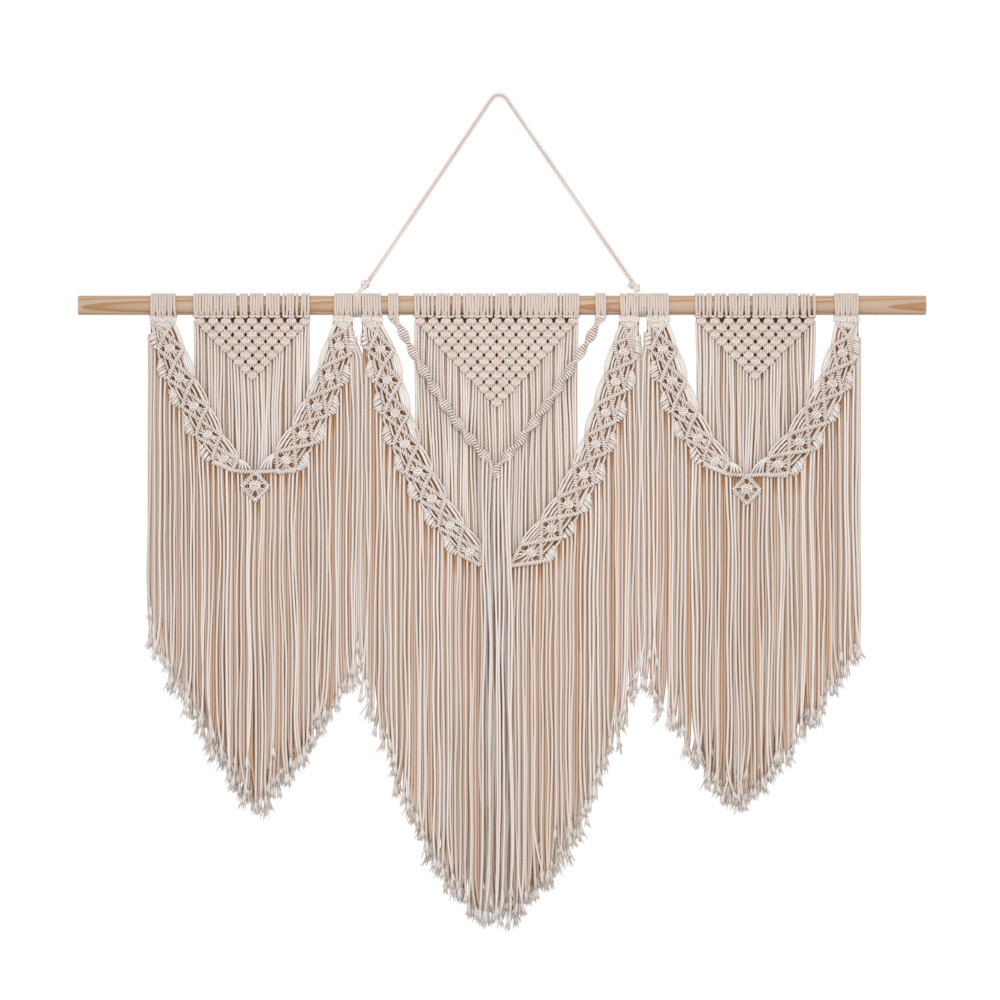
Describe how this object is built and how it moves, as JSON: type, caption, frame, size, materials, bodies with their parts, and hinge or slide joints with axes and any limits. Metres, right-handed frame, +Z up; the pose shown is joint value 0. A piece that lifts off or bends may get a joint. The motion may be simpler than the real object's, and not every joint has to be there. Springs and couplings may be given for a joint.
{
  "type": "macrame wall hanging on wooden dowel",
  "caption": "Cotton macrame wall hanging: knotted panels, draped garlands and long fringe tied to a round wooden dowel, on a cord for one wall hook.",
  "frame": {"origin": "top of the hanging cord, where the wall hook carries it", "axes": "+Z up, +X to the right along the dowel, -Y is the front that faces the room"},
  "size_m": [1.1, 0.0397, 1.0782],
  "materials": {
    "cotton_cord": "natural undyed cotton cord, matt, softly twisted",
    "wood": "sanded unvarnished pine with darker grain"
  },
  "bodies": {
    "root": {"dowel": "wood", "hanging_cord": "cotton_cord", "cord_tie_left": "cotton_cord", "cord_tie_right": "cotton_cord", "panel_left": "cotton_cord", "panel_centre": "cotton_cord", "panel_right": "cotton_cord", "garland_left": "cotton_cord", "garland_centre": "cotton_cord", "garland_right": "cotton_cord", "twisted_v": "cotton_cord"}
  },
  "joints": []
}
